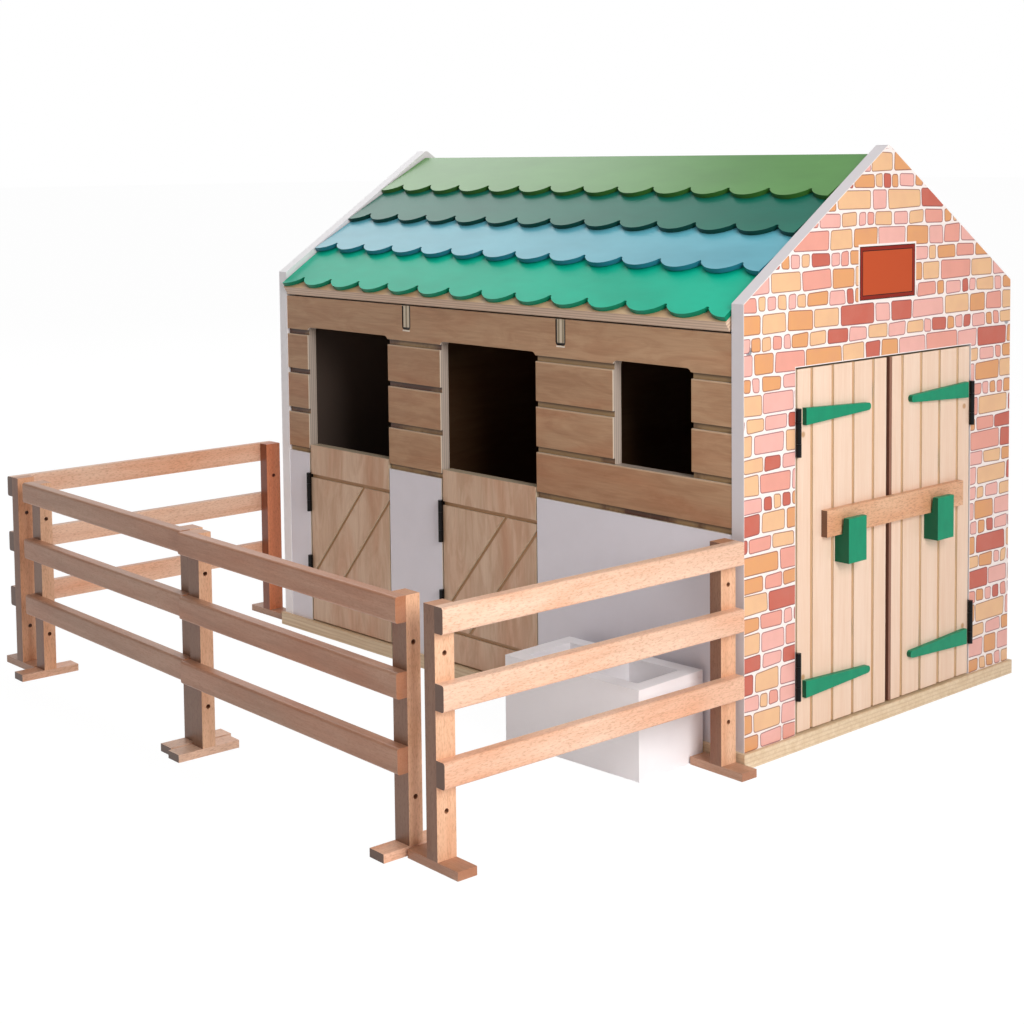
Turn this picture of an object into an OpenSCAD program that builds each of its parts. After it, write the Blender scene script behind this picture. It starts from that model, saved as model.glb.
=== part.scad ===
// Toy barn with opening doors, a hinged roof slope, loose fence panels and a trough.
// x runs along the ridge, the brick gable is at +x, the long stall wall faces -y, z is up.
// All sizes are millimetres. The origin is the middle of the underside of the base board.

/* [Barn shell] */
// Overall length over the two gables
barn_length = 606; // [400:1:900]
// Depth of each gable, front to rear
barn_depth = 360; // [240:1:540]
// Height of the gable shoulder above the floor
shoulder_z = 355; // [330:1:420]
// Height of the gable apex above the floor
apex_z = 474.5; // [440:0.5:560]
// Thickness of the gable boards
gable_t = 12; // [8:0.5:18]
// Radius of the rounded apex of the gables
gable_corner_r = 4; // [3:0.5:12]
// Thickness of the base board
base_t = 12; // [8:0.5:18]
// How far the base board stands proud of the walls all round
base_proud = 3; // [1:0.5:6]
// Thickness of the long walls and the partitions
wall_t = 10; // [8:0.5:14]
// Height of the top edge of the long walls
wall_top_z = 332; // [320:1:350]
// Setback of the long walls from the gable edges
wall_setback = 0.5; // [0:0.1:3]
// Distance of each partition from the middle of the barn
partition_x = 102.6; // [90:0.2:130]
// Height of the partition tabs that sit in the wall notches
tab_height = 21; // [10:0.5:30]

/* [Stall wall] */
// Width of the two stall doorways
stall_width = 127; // [90:1:150]
// Left edge of the left stall doorway
stall_left_x = -257.6; // [-270:0.1:-240]
// Left edge of the middle stall doorway
stall_right_x = -55.2; // [-70:0.1:-40]
// Height of the top edge of every window
window_top_z = 302.5; // [280:0.5:310]
// Left edge of the small window
small_window_x = 163.4; // [150:0.2:180]
// Width of the small window
small_window_width = 86; // [60:1:100]
// Sill height of the small window
small_window_sill_z = 217.4; // [190:0.2:240]
// Height of the lowest plank groove of the wall
plank_z = 181; // [170:1:190]
// Height of one plank of the wall
plank_pitch = 38.7; // [30:0.1:40]
// Width of the plank grooves
plank_groove_w = 5; // [2:0.5:6]
// Depth of the plank grooves
plank_groove_d = 2.5; // [1:0.1:4]

/* [Stall doors] */
// Height of the top edge of the stall doors
stall_door_top_z = 187; // [170:1:200]
// Clearance round each door
door_clearance = 1.5; // [1:0.1:3]
// Width of the grooves in the stall doors
stall_groove_w = 3.6; // [2:0.2:5]
// Depth of the grooves in all doors
door_groove_d = 2; // [1:0.1:3]
// Height of the upper cross groove
stall_groove_high_z = 156.6; // [140:0.2:165]
// Height of the lower cross groove
stall_groove_low_z = 41.3; // [30:0.1:60]
// Slope of the two diagonal grooves in degrees
stall_diagonal_angle = 49.5; // [40:0.5:60]

/* [Double doors] */
// Half the width of the gable doorway
doorway_half = 118.9; // [90:0.1:130]
// Height of the top of the gable doorway
doorway_top_z = 302; // [270:1:315]
// Gap between the two leaves
leaf_gap = 4.4; // [2:0.2:8]
// Thickness of the leaves
leaf_t = 12; // [8:0.5:16]
// Spacing of the plank grooves of the leaves
leaf_groove_pitch = 26.4; // [18:0.2:28]
// Width of the plank grooves of the leaves
leaf_groove_w = 3.2; // [2:0.2:5]
// Height of the middle of the upper straps
strap_high_z = 263.5; // [250:0.5:280]
// Height of the middle of the lower straps
strap_low_z = 47.5; // [40:0.5:60]
// Length of the straps
strap_length = 82.5; // [50:0.5:95]
// Height of the straps at the hinge end
strap_w = 13.5; // [8:0.5:18]
// Height of the straps at the rounded tip
strap_tip_w = 6; // [2:0.5:8]
// Thickness of the straps
strap_t = 4; // [2:0.5:6]

/* [Locking bar] */
// Length of the bar
bar_length = 187; // [150:1:200]
// Height of the bar
bar_h = 18; // [12:0.5:22]
// Thickness of the bar
bar_t = 5.7; // [4:0.1:6]
// Sideways position of the middle of the bar
bar_y = 6.5; // [0:0.5:10]
// Height of the slot floor the bar rests on
slot_floor_z = 165; // [150:0.5:180]
// Width of each hook
hook_w = 23; // [16:0.5:26]
// Sideways position of the middle of the left hook
hook_left_y = -58; // [-65:0.5:-50]
// Sideways position of the middle of the right hook
hook_right_y = 63; // [55:0.5:66]
// Height of the block under the slot
hook_block_h = 22.6; // [16:0.2:30]
// Height of the lip above the slot floor
hook_lip_h = 13.4; // [8:0.2:16]
// Overall projection of the hook from the leaf
hook_depth = 14; // [12:0.2:20]

/* [Hinges] */
// Length of every butt hinge
hinge_length = 38; // [30:0.5:50]
// Outer radius of the hinge knuckles
knuckle_r = 2.2; // [1.8:0.1:3]
// Radius of the hinge pins
pin_r = 1; // [0.7:0.05:1.2]
// Thickness of the hinge plates
plate_t = 1; // [0.6:0.1:1.5]
// Middle height of the upper hinges of the double doors
door_hinge_high_z = 251.3; // [230:0.1:265]
// Middle height of the lower hinges of all doors
door_hinge_low_z = 58.7; // [45:0.1:75]
// Middle height of the upper hinges of the stall doors
stall_hinge_high_z = 140.4; // [125:0.1:160]

/* [Roof] */
// Length of each roof slope from the apex to the eave
slope_length = 227.8; // [220:0.2:250]
// Thickness of the roof boards
roof_board_t = 9; // [6:0.5:12]
// Depth of the top of the roof boards below the gable edge
roof_drop = 9; // [7:0.5:12]
// Gap between the roof and each gable
roof_side_gap = 2; // [1:0.25:5]
// Thickness of the tile strips
tile_t = 4; // [3:0.25:6]
// Distance from one tile row to the next down the slope
tile_pitch = 50.7; // [45:0.1:55]
// Distance of the lowest tile edge from the apex
tile_low_s = 226.6; // [222:0.2:235]
// Length of a tile strip down the slope
tile_length = 67.5; // [62:0.5:75]
// Width of one scallop
scallop_pitch = 44.1; // [30:0.1:60]
// Depth of one scallop to where its arcs would meet
scallop_depth = 11.6; // [6:0.2:16]
// Radius of the cutter that rounds the notch between two scallops
cutter_r = 2.1; // [1:0.1:4]
// Width and height of the battens that carry the roof
batten_w = 12; // [8:0.5:16]

/* [Fence panels] */
// Length of each panel over its posts
panel_length = 286; // [200:1:360]
// Height of the posts
post_h = 177; // [140:1:220]
// Width of the posts along the panel
post_w = 16; // [12:0.5:24]
// Thickness of the posts across the panel
post_t = 11.4; // [9:0.2:16]
// Height of the rails
rail_h = 18; // [12:0.5:22]
// Thickness of the rails
rail_t = 8.8; // [6:0.2:12]
// Spacing of the rails
rail_pitch = 51.2; // [40:0.2:60]
// Length of the feet
foot_length = 54; // [40:1:80]
// Height of the feet
foot_h = 6.2; // [4:0.2:10]
// Radius of the peg holes
peg_r = 1.8; // [1:0.1:2.5]
// Height of the upper peg holes
peg_high_z = 144.5; // [135:0.5:150]
// Height of the lower peg holes
peg_low_z = 39; // [25:0.5:45]

/* [Trough] */
// Length of the trough
trough_length = 143; // [110:1:160]
// Depth of the trough, front to rear
trough_depth = 74; // [60:1:80]
// Height of the trough
trough_h = 70; // [50:1:90]
// Wall thickness of the trough
trough_wall = 13; // [8:0.5:18]
// Depth of the two wells
well_depth = 45; // [20:1:45]

/* [Hidden] */
$fn = 48;
half_len = barn_length / 2;
half_dep = barn_depth / 2;
inner_x = half_len - gable_t;
wall_face_y = -half_dep + wall_setback;
wall_back_y = wall_face_y + wall_t;
slope_angle = atan2(apex_z - shoulder_z, half_dep);
// the hinge geometry shared by every pair of plates
hinge_gap = 2 * plate_t + 0.2;
axis_out = knuckle_r + 0.1;
plate_drop = 9.5;
knuckle_end = 10.4;
knuckle_slack = 0.3;
running_fit = 0.05;
// the leaves of the double doors
door_axis_x = half_len + axis_out;
door_axis_y = doorway_half - hinge_gap / 2;
leaf_y = doorway_half - hinge_gap;
leaf_width = leaf_y - leaf_gap / 2;
leaf_low_z = base_t + door_clearance;
leaf_high_z = doorway_top_z - door_clearance;
stall_axis_y = wall_face_y - axis_out;
// each upper tile row leans on the upper edge of the row below
tile_tilt = asin(tile_t / tile_pitch);
top_row_angle = slope_angle - tile_tilt;
top_row_high_s = tile_low_s - 3 * tile_pitch - tile_length;
// the top rows are cut upright beside the ridge, and the hinge barrels lie just below their edges
ridge_cut = 3;
barrel_depth = 0.4;
top_row_y = roof_drop * sin(slope_angle) - top_row_high_s * cos(slope_angle)
  - tile_t * sin(top_row_angle);
top_row_z = apex_z - roof_drop * cos(slope_angle) - top_row_high_s * sin(slope_angle)
  + tile_t * cos(top_row_angle);
tile_edge_z = top_row_z - (ridge_cut + top_row_y) * tan(top_row_angle);
ridge_z = tile_edge_z - barrel_depth - knuckle_r;
roof_half_x = inner_x - roof_side_gap;
rail_top_z = post_h;
peg_through = 60;
far_post = panel_length - post_w;
// the four panels stand loose, each turned a little, and chained from the left far post
left_turn = -90.3;
front_left_turn = -2.3;
front_right_turn = -1.9;
right_turn = 88.3;
corner_gap = 2.6;
row_gap = 2.7;
left_far_x = -half_len - 43;
left_far_y = -half_dep + 13.8;
left_near_x = left_far_x + far_post * cos(left_turn);
left_near_y = left_far_y + far_post * sin(left_turn);
row_start_x = left_near_x + foot_length / 2 + post_w / 2 + corner_gap;
row_start_y = left_near_y - 1;
row_middle_x = row_start_x + far_post * cos(front_left_turn) + post_w + row_gap;
row_middle_y = row_start_y + far_post * sin(front_left_turn) - 4.5;
row_end_x = row_middle_x + far_post * cos(front_right_turn);
right_far_y = -half_dep - base_proud - post_w / 2 - 3.1;
right_near_x = row_end_x + foot_length / 2 + post_w / 2 + corner_gap;
right_near_y = right_far_y - far_post * sin(right_turn);
right_far_x = right_near_x + far_post * cos(right_turn);
// where each panel stands: x, y of the middle of its first post, turn
panel_left = [left_far_x, left_far_y, left_turn];
panel_front_left = [row_start_x, row_start_y, front_left_turn];
panel_front_right = [row_middle_x, row_middle_y, front_right_turn];
panel_right = [right_near_x, right_near_y, right_turn];

birch = [0.80, 0.66, 0.48];
door_wood = [0.93, 0.82, 0.66];
pine = [0.90, 0.78, 0.58];
beech = [0.85, 0.62, 0.45];
paint_white = [0.93, 0.93, 0.93];
paint_hook = [0.10, 0.50, 0.36];
tile_green = [0.33, 0.60, 0.20];
tile_teal = [0.20, 0.50, 0.45];
tile_blue = [0.35, 0.68, 0.75];
tile_emerald = [0.15, 0.72, 0.55];
steel_black = [0.08, 0.08, 0.08];
steel = [0.70, 0.70, 0.72];

// The shell

module base_board() {
  long = barn_length + 2 * base_proud;
  deep = barn_depth + 2 * base_proud;
  color(pine) translate([-long / 2, -deep / 2, 0]) cube([long, deep, base_t]);
}

// the middle of the arc that rounds the apex, and where it meets the slopes
apex_arc_z = apex_z - gable_corner_r / cos(slope_angle);
arc_out = gable_corner_r * sin(slope_angle);
arc_up = gable_corner_r * cos(slope_angle);

// a gable board from x to x + gable_t, standing on the base board
module gable_board(x) {
  translate([x, 0, 0]) rotate([90, 0, 90]) linear_extrude(gable_t) union() {
    polygon([[-half_dep, base_t], [half_dep, base_t], [half_dep, shoulder_z],
      [arc_out, apex_arc_z + arc_up], [-arc_out, apex_arc_z + arc_up], [-half_dep, shoulder_z]]);
    translate([0, apex_arc_z]) circle(r = gable_corner_r);
  }
}

module gable_near() {
  color(paint_white) difference() {
    gable_board(inner_x);
    translate([inner_x - 1, -doorway_half, base_t - 1])
      cube([gable_t + 2, 2 * doorway_half, doorway_top_z - base_t + 1]);
    screw_holes(half_len, 1);
  }
}

module gable_far() {
  color(paint_white) difference() {
    gable_board(-half_len);
    screw_holes(-half_len, -1);
  }
}

screw_y = half_dep - 6;
screw_z = 319;
screw_head_r = 3.5;

// the countersinks of the two screws in the outer face of a gable
module screw_holes(face_x, way) {
  for (side = [-1, 1])
    translate([face_x - way * 1.5, side * screw_y, screw_z]) rotate([0, way * 90, 0])
      cylinder(r = screw_head_r, h = 3);
}

module gable_screws() {
  color(steel) for (way = [-1, 1]) for (side = [-1, 1])
    translate([way * (half_len - 1.5), side * screw_y, screw_z]) rotate([0, way * 90, 0])
      difference() {
        cylinder(r = screw_head_r, h = 1.3);
        for (turn = [0, 90]) rotate([0, 0, turn]) translate([-2.2, -0.4, 0.6]) cube([4.4, 0.8, 1]);
      }
}

// a board with rounded top corners, cut through the front wall
module wall_opening(x, low_z, width) {
  corner = 5;
  high = window_top_z - low_z;
  translate([x, wall_back_y + 1, low_z]) rotate([90, 0, 0]) linear_extrude(wall_t + 2)
    union() {
      square([width, high - corner]);
      translate([corner, 0]) square([width - 2 * corner, high]);
      translate([corner, high - corner]) circle(r = corner);
      translate([width - corner, high - corner]) circle(r = corner);
    }
}

notch_w = wall_t + 2;
notch_low_z = wall_top_z - tab_height - 1;
notch_corner = 3;

// a notch with rounded lower corners for a partition tab, open at the top of a wall
module tab_notch(x, y) {
  side = notch_w / 2 - notch_corner;
  translate([x, y + wall_t + 1, notch_low_z]) rotate([90, 0, 0]) linear_extrude(wall_t + 2)
    union() {
      translate([-notch_w / 2, notch_corner]) square([notch_w, tab_height + 20]);
      translate([-side, 0]) square([2 * side, notch_corner + 1]);
      for (x_corner = [-side, side]) translate([x_corner, notch_corner]) circle(r = notch_corner);
    }
}

module front_wall() {
  color(birch) difference() {
    translate([-inner_x, wall_face_y, base_t])
      cube([2 * inner_x, wall_t, wall_top_z - base_t]);
    wall_opening(stall_left_x, base_t - 1, stall_width);
    wall_opening(stall_right_x, base_t - 1, stall_width);
    wall_opening(small_window_x, small_window_sill_z, small_window_width);
    for (i = [0:3])
      translate([-inner_x - 1, wall_face_y - 1, plank_z + i * plank_pitch - plank_groove_w / 2])
        cube([2 * inner_x + 2, plank_groove_d + 1, plank_groove_w]);
    for (side = [-1, 1]) tab_notch(side * partition_x, wall_face_y);
  }
}

module rear_wall() {
  color(birch) difference() {
    translate([-inner_x, -wall_back_y, base_t])
      cube([2 * inner_x, wall_t, wall_top_z - base_t]);
    for (side = [-1, 1]) tab_notch(side * partition_x, -wall_back_y);
  }
}

tab_setback = 0.3;

// a partition stands on the base board, and its two tabs sit in the wall notches
module partition(x) {
  tab_low = wall_top_z - tab_height;
  span = -2 * wall_back_y;
  color(birch) translate([x - wall_t / 2, 0, 0]) union() {
    translate([0, wall_back_y, base_t]) cube([wall_t, span, wall_top_z - base_t]);
    translate([0, wall_face_y + tab_setback, tab_low])
      cube([wall_t, -2 * (wall_face_y + tab_setback), tab_height]);
  }
}

module partition_left() { partition(-partition_x); }
module partition_right() { partition(partition_x); }

// The roof

// local frame of the front slope: -y runs down the slope, z is square to it
module on_slope() {
  translate([0, 0, apex_z]) rotate([slope_angle, 0, 0]) children();
}

batten_low_s = 195;
batten_high_s = 24;

// the two battens on the inner face of a gable
module battens(x) {
  color(pine) for (turn = [0, 180]) rotate([0, 0, turn]) {
    local_x = turn == 0 ? x : -x - batten_w;
    on_slope() translate([local_x, -batten_low_s, -roof_drop - roof_board_t - batten_w])
      cube([batten_w, batten_low_s - batten_high_s, batten_w]);
  }
}

module battens_near() { battens(inner_x - batten_w); }
module battens_far() { battens(-inner_x); }

ridge_hinge_xs = [-210, 0, 210];
ridge_pocket_length = hinge_length + 2;

// everything nearer the ridge than this is cut upright
module ridge_side(cut) {
  translate([-half_len, -cut, shoulder_z]) cube([barn_length, 2 * half_dep, 2 * half_dep]);
}

module roof_board() {
  difference() {
    on_slope() translate([-roof_half_x, -slope_length, -roof_drop - roof_board_t])
      cube([2 * roof_half_x, slope_length + 40, roof_board_t]);
    ridge_side(hinge_gap / 2);
    for (x = ridge_hinge_xs)
      translate([x - ridge_pocket_length / 2, 0, ridge_z]) rotate([0, 90, 0])
        cylinder(r = knuckle_r + 0.6, h = ridge_pocket_length);
  }
}

module roof_front_board() { color(birch) roof_board(); }
module roof_rear_board() { color(birch) rotate([0, 0, 180]) roof_board(); }

scallop_count = 2 * ceil(roof_half_x / scallop_pitch);
scallop_r = (pow(scallop_pitch / 2, 2) + pow(scallop_depth, 2)) / (2 * scallop_depth);
// the notch is centred where the gap between two scallops is just narrower than the cutter
notch_reach = scallop_pitch / 2 - cutter_r + 0.05;
notch_rise = scallop_r - sqrt(pow(scallop_r, 2) - pow(notch_reach, 2));

// one strip lying flat with its upper edge at y = 0 and its scallops toward -y
module tile_outline(length) {
  straight = length - notch_rise;
  difference() {
    union() {
      translate([-roof_half_x, -straight]) square([2 * roof_half_x, straight]);
      for (i = [0:scallop_count - 1])
        translate([(i - (scallop_count - 1) / 2) * scallop_pitch, -length + scallop_r])
          circle(r = scallop_r);
    }
    for (side = [-1, 1])
      translate([side * (roof_half_x + 2 * scallop_pitch) - 2 * scallop_pitch, -2 * length])
        square([4 * scallop_pitch, 2 * length - 1]);
    for (i = [1:scallop_count - 1])
      translate([(i - scallop_count / 2) * scallop_pitch, -straight]) circle(r = cutter_r);
  }
}

// row 0 is the lowest; the upper rows lean on the upper edge of the row below
module tile_row(row) {
  low_s = tile_low_s - row * tile_pitch;
  high_s = low_s - tile_length;
  tilt = row == 0 ? 0 : tile_tilt;
  on_slope() translate([0, -high_s, -roof_drop]) rotate([-tilt, 0, 0])
    linear_extrude(tile_t) tile_outline(tile_length);
}

// the top row is cut upright at the ridge and runs up to it
module tile_row_top() {
  low_s = tile_low_s - 3 * tile_pitch;
  difference() {
    on_slope() translate([0, tile_length - low_s, -roof_drop])
      rotate([-tile_tilt, 0, 0]) linear_extrude(tile_t)
      union() {
        tile_outline(tile_length);
        translate([-roof_half_x, -1]) square([2 * roof_half_x, 20]);
      }
    ridge_side(ridge_cut);
  }
}

module roof_front_tiles_emerald() { color(tile_emerald) tile_row(0); }
module roof_front_tiles_blue() { color(tile_blue) tile_row(1); }
module roof_front_tiles_teal() { color(tile_teal) tile_row(2); }
module roof_front_tiles_green() { color(tile_green) tile_row_top(); }
module roof_rear_tiles_emerald() { color(tile_emerald) rotate([0, 0, 180]) tile_row(0); }
module roof_rear_tiles_blue() { color(tile_blue) rotate([0, 0, 180]) tile_row(1); }
module roof_rear_tiles_teal() { color(tile_teal) rotate([0, 0, 180]) tile_row(2); }
module roof_rear_tiles_green() { color(tile_green) rotate([0, 0, 180]) tile_row_top(); }

// The hinges

middle_knuckle = hinge_length - 2 * knuckle_end - 2 * knuckle_slack;

// the fixed half: end knuckles, the pin and a plate on the -y side reaching to -x
module hinge_fixed() {
  half = hinge_length / 2;
  union() {
    for (low = [-half, half - knuckle_end])
      translate([0, 0, low]) cylinder(r = knuckle_r, h = knuckle_end);
    translate([0, 0, -half]) cylinder(r = pin_r, h = hinge_length);
    difference() {
      translate([-axis_out - plate_drop, -hinge_gap / 2, -half])
        cube([axis_out + plate_drop, plate_t, hinge_length]);
      translate([0, 0, -middle_knuckle / 2 - knuckle_slack])
        cylinder(r = knuckle_r + 0.3, h = middle_knuckle + 2 * knuckle_slack);
    }
  }
}

// the moving half: the middle knuckle on the pin and a plate on the +y side
module hinge_moving() {
  half = hinge_length / 2;
  difference() {
    union() {
      translate([0, 0, -middle_knuckle / 2]) cylinder(r = knuckle_r, h = middle_knuckle);
      difference() {
        translate([-axis_out - plate_drop, hinge_gap / 2 - plate_t, -half])
          cube([axis_out + plate_drop, plate_t, hinge_length]);
        for (low = [-half - 1, middle_knuckle / 2])
          translate([0, 0, low])
            cylinder(r = knuckle_r + 0.3, h = knuckle_end + knuckle_slack + 1);
      }
    }
    translate([0, 0, -half]) cylinder(r = pin_r + running_fit, h = hinge_length);
  }
}

// each place puts the local hinge on its axis
module on_left_door(z) { translate([door_axis_x, -door_axis_y, z]) children(); }
module on_right_door(z) { translate([door_axis_x, door_axis_y, z]) rotate([180, 0, 0]) children(); }
module on_stall(x, z) {
  translate([x + hinge_gap / 2, stall_axis_y, z]) rotate([0, 0, -90]) children();
}
module on_ridge(x) { translate([x, 0, ridge_z]) rotate([180, -90, 0]) children(); }

door_hinge_zs = [door_hinge_low_z, door_hinge_high_z];
stall_hinge_zs = [door_hinge_low_z, stall_hinge_high_z];

module double_door_frames() {
  color(steel_black) for (z = door_hinge_zs) {
    on_left_door(z) hinge_fixed();
    on_right_door(z) hinge_fixed();
  }
}

module stall_hinge_frames() {
  color(steel_black) for (z = stall_hinge_zs) for (x = [stall_left_x, stall_right_x])
    on_stall(x, z) hinge_fixed();
}

module ridge_hinge_frames() { color(steel_black) for (x = ridge_hinge_xs) on_ridge(x) hinge_fixed(); }
module ridge_hinge_leaves() { color(steel_black) for (x = ridge_hinge_xs) on_ridge(x) hinge_moving(); }
module door_left_hinges() { color(steel_black) for (z = door_hinge_zs) on_left_door(z) hinge_moving(); }
module door_right_hinges() { color(steel_black) for (z = door_hinge_zs) on_right_door(z) hinge_moving(); }
module stall_door_left_hinges() {
  color(steel_black) for (z = stall_hinge_zs) on_stall(stall_left_x, z) hinge_moving();
}
module stall_door_right_hinges() {
  color(steel_black) for (z = stall_hinge_zs) on_stall(stall_right_x, z) hinge_moving();
}

// The double doors

// the left leaf, hinged at -y; the right one is the same board at +y
module leaf(low_y) {
  color(door_wood) difference() {
    translate([half_len - leaf_t, low_y, leaf_low_z])
      cube([leaf_t, leaf_width, leaf_high_z - leaf_low_z]);
    for (i = [-1.5:1:1.5])
      translate([half_len - door_groove_d, low_y + leaf_width / 2 + i * leaf_groove_pitch
        - leaf_groove_w / 2, leaf_low_z - 1])
        cube([door_groove_d + 1, leaf_groove_w, leaf_high_z - leaf_low_z + 2]);
  }
}

module door_left_leaf() { leaf(-leaf_y); }
module door_right_leaf() { leaf(leaf_gap / 2); }

strap_setback = 6.3;

// a tapered strap that starts near the hinge edge at y = 0 and points to +y
module strap() {
  tip = strap_length - strap_tip_w / 2;
  rotate([90, 0, 90]) linear_extrude(strap_t) union() {
    polygon([[0, -strap_w / 2], [tip, -strap_tip_w / 2], [tip, strap_tip_w / 2],
      [0, strap_w / 2]]);
    translate([tip, 0]) circle(r = strap_tip_w / 2);
  }
}

module straps(way) {
  color(paint_hook) for (z = [strap_low_z, strap_high_z])
    translate([half_len, -way * (leaf_y - strap_setback), z])
      rotate([way == 1 ? 0 : 180, 0, 0]) strap();
}

module door_left_straps() { straps(1); }
module door_right_straps() { straps(-1); }

slot_back_gap = 0.3;
lip_t = 6.5;
lip_taper = 1.5;

// a hook block with an open slot for the bar; its lip leans outward a little
module hook(y) {
  lip_in = hook_depth - lip_t;
  color(paint_hook) translate([half_len, y + hook_w / 2, slot_floor_z]) rotate([90, 0, 0])
    linear_extrude(hook_w)
    polygon([[0, -hook_block_h], [hook_depth, -hook_block_h], [hook_depth, hook_lip_h],
      [lip_in + lip_taper, hook_lip_h], [lip_in, 0], [0, 0]]);
}

module door_left_hook() { hook(hook_left_y); }
module door_right_hook() { hook(hook_right_y); }

module locking_bar() {
  color(beech) translate([half_len + slot_back_gap, bar_y - bar_length / 2, slot_floor_z])
    cube([bar_t, bar_length, bar_h]);
}

// The stall doors

module stall_panel(x) {
  low_x = x + hinge_gap;
  width = stall_width - hinge_gap - door_clearance;
  low_z = base_t + door_clearance;
  reach = 2 * stall_width;
  diagonal_z = stall_groove_high_z;
  color(birch) difference() {
    translate([low_x, wall_face_y, low_z]) cube([width, wall_t, stall_door_top_z - low_z]);
    for (z = [stall_groove_high_z, stall_groove_low_z])
      translate([low_x - 1, wall_face_y - 1, z - stall_groove_w / 2])
        cube([width + 2, door_groove_d + 1, stall_groove_w]);
    difference() {
      for (u = [88, 134])
        translate([x + u, wall_face_y - 1, diagonal_z]) rotate([0, 90 - stall_diagonal_angle, 0])
          translate([-stall_groove_w / 2, 0, -reach])
          cube([stall_groove_w, door_groove_d + 1, 2 * reach]);
      translate([x - reach, wall_face_y - 2, stall_groove_high_z]) cube([3 * reach, 10, reach]);
      translate([x - reach, wall_face_y - 2, stall_groove_low_z - reach])
        cube([3 * reach, 10, reach]);
    }
  }
}

module stall_door_left_panel() { stall_panel(stall_left_x); }
module stall_door_right_panel() { stall_panel(stall_right_x); }

// The fence panels

// local frame of a panel: it runs along +x from its first post, rails on the -y side
module on_panel(place) {
  translate([place[0], place[1], 0]) rotate([0, 0, place[2]]) children();
}

// the panels that run along the barn depth have their peg holes square to the panel
module panel_posts(place, across) {
  color(beech) difference() {
    on_panel(place) for (u = [0, far_post])
      translate([u - post_w / 2, -post_t / 2, foot_h]) cube([post_w, post_t, post_h - foot_h]);
    on_panel(place) for (u = [0, far_post]) for (z = [peg_low_z, peg_high_z])
      translate([u, 0, z]) rotate([across ? 90 : 0, across ? 0 : 90, 0])
        cylinder(r = peg_r, h = peg_through, center = true);
  }
}

rail_edge = 2;

module panel_rails(place) {
  color(beech) on_panel(place) for (i = [0:2])
    translate([-post_w / 2, -post_t / 2 - rail_t, rail_top_z - rail_h - i * rail_pitch])
      rotate([90, 0, 90]) linear_extrude(panel_length) union() {
        translate([rail_edge, 0]) square([rail_t - rail_edge, rail_h]);
        translate([0, rail_edge]) square([rail_t, rail_h - 2 * rail_edge]);
        translate([rail_edge, rail_edge]) circle(r = rail_edge);
        translate([rail_edge, rail_h - rail_edge]) circle(r = rail_edge);
      }
}

module panel_feet(place) {
  color(beech) on_panel(place) for (u = [0, far_post])
    translate([u - post_w / 2, -foot_length / 2, 0]) cube([post_w, foot_length, foot_h]);
}

module fence_left_posts() { panel_posts(panel_left, true); }
module fence_left_rails() { panel_rails(panel_left); }
module fence_left_feet() { panel_feet(panel_left); }
module fence_front_left_posts() { panel_posts(panel_front_left, false); }
module fence_front_left_rails() { panel_rails(panel_front_left); }
module fence_front_left_feet() { panel_feet(panel_front_left); }
module fence_front_right_posts() { panel_posts(panel_front_right, false); }
module fence_front_right_rails() { panel_rails(panel_front_right); }
module fence_front_right_feet() { panel_feet(panel_front_right); }
module fence_right_posts() { panel_posts(panel_right, true); }
module fence_right_rails() { panel_rails(panel_right); }
module fence_right_feet() { panel_feet(panel_right); }

// The trough

trough_x = right_far_x - foot_length / 2 - 1 - trough_length / 2;
trough_y = -half_dep - base_proud - 4.1 - trough_depth / 2;
trough_turn = 2.3;

module trough() {
  well_gap = trough_wall;
  well_length = (trough_length - 2 * trough_wall - well_gap) / 2;
  color(paint_white) translate([trough_x, trough_y, 0])
    rotate([0, 0, trough_turn]) difference() {
      translate([-trough_length / 2, -trough_depth / 2, 0])
        cube([trough_length, trough_depth, trough_h]);
      for (low_x = [-well_gap / 2 - well_length, well_gap / 2])
        translate([low_x, -trough_depth / 2 + trough_wall, trough_h - well_depth])
          cube([well_length, trough_depth - 2 * trough_wall, well_depth + 1]);
    }
}

base_board();
gable_near();
gable_far();
front_wall();
rear_wall();
partition_left();
partition_right();
battens_near();
battens_far();
gable_screws();
roof_rear_board();
roof_rear_tiles_green();
roof_rear_tiles_teal();
roof_rear_tiles_blue();
roof_rear_tiles_emerald();
ridge_hinge_frames();
roof_front_board();
roof_front_tiles_green();
roof_front_tiles_teal();
roof_front_tiles_blue();
roof_front_tiles_emerald();
ridge_hinge_leaves();
double_door_frames();
door_left_leaf();
door_left_straps();
door_left_hook();
door_left_hinges();
door_right_leaf();
door_right_straps();
door_right_hook();
door_right_hinges();
locking_bar();
stall_hinge_frames();
stall_door_left_panel();
stall_door_left_hinges();
stall_door_right_panel();
stall_door_right_hinges();
fence_left_posts();
fence_left_rails();
fence_left_feet();
fence_front_left_posts();
fence_front_left_rails();
fence_front_left_feet();
fence_front_right_posts();
fence_front_right_rails();
fence_front_right_feet();
fence_right_posts();
fence_right_rails();
fence_right_feet();
trough();
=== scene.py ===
import math
import random

import bmesh
import bpy
from mathutils import Matrix, Vector


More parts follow.
